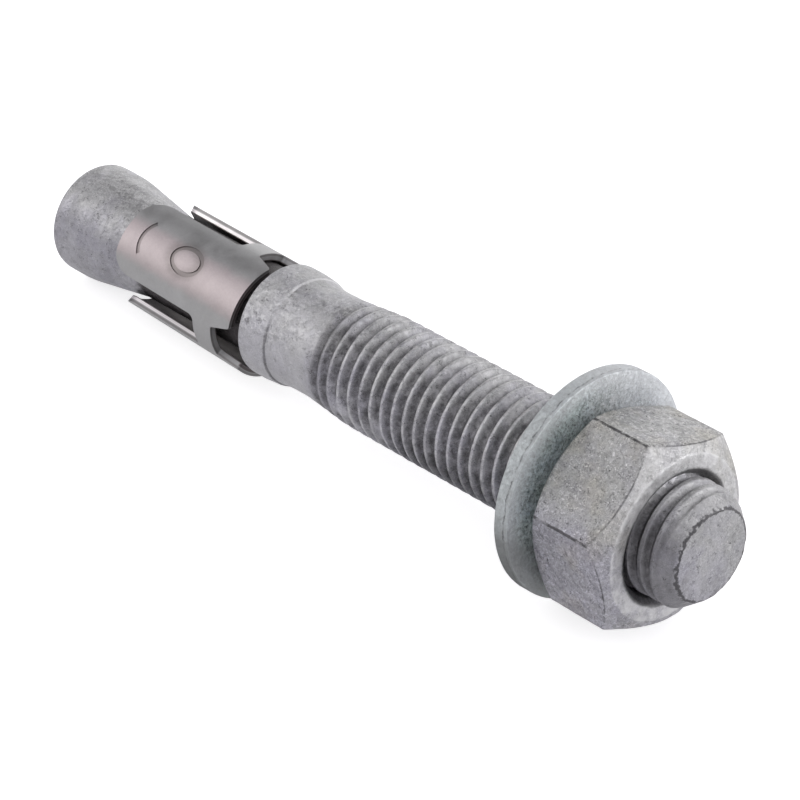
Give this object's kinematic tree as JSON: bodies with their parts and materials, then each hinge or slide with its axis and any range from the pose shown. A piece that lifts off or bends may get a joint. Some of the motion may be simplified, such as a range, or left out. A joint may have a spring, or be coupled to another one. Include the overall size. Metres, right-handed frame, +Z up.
{
  "type": "wedge anchor",
  "caption": "Galvanised wedge anchor lying on its side: stud with cone, collar and thread, slotted expansion clip, flat washer and hex nut.",
  "frame": {"origin": "under the middle of the bounding box, on the plane that the anchor lies on", "axes": "+X level, along the anchor towards its threaded end; +Z up; +Y to the left when looking along +X. The anchor's own axis climbs 3.78 degrees from the cone to the threaded end."},
  "size_m": [0.1156, 0.0298, 0.0298],
  "materials": {
    "galvanised_stud": "hot-dip galvanised steel, matt and mottled grey with fine dark pits",
    "clip_sheet": "satin stainless sheet with bright sheared edges",
    "galvanised_washer": "galvanised, grainy, bluish grey with scratches",
    "galvanised_nut": "hot-dip galvanised, matt, with yellowish speckle, scratches and rounded dents"
  },
  "bodies": {
    "stud": {"anchor_stud": "galvanised_stud"},
    "clip": {"expansion_clip": "clip_sheet"},
    "washer": {"flat_washer": "galvanised_washer"},
    "nut": {"hex_nut": "galvanised_nut"}
  },
  "joints": [
    {"name": "clip_slide", "type": "slide", "parent": "stud", "child": "clip", "axis": [0.9978, 0, 0.0658], "range_m": [-0.0015, 0.0013]},
    {"name": "washer_slide", "type": "slide", "parent": "stud", "child": "washer", "axis": [0.9978, 0, 0.0658], "range_m": [-0.0381, 0.0141]},
    {"name": "nut_spin", "type": "hinge", "parent": "washer", "child": "nut", "pos_m": [0.04511, 0, 0.0142], "axis": [0.9978, 0, 0.0658], "range_deg": [-6840, 2520]}
  ],
  "couplings": [
    {"joint": "washer_slide", "follows": "nut_spin", "m_per_rad": 0.00031831}
  ]
}
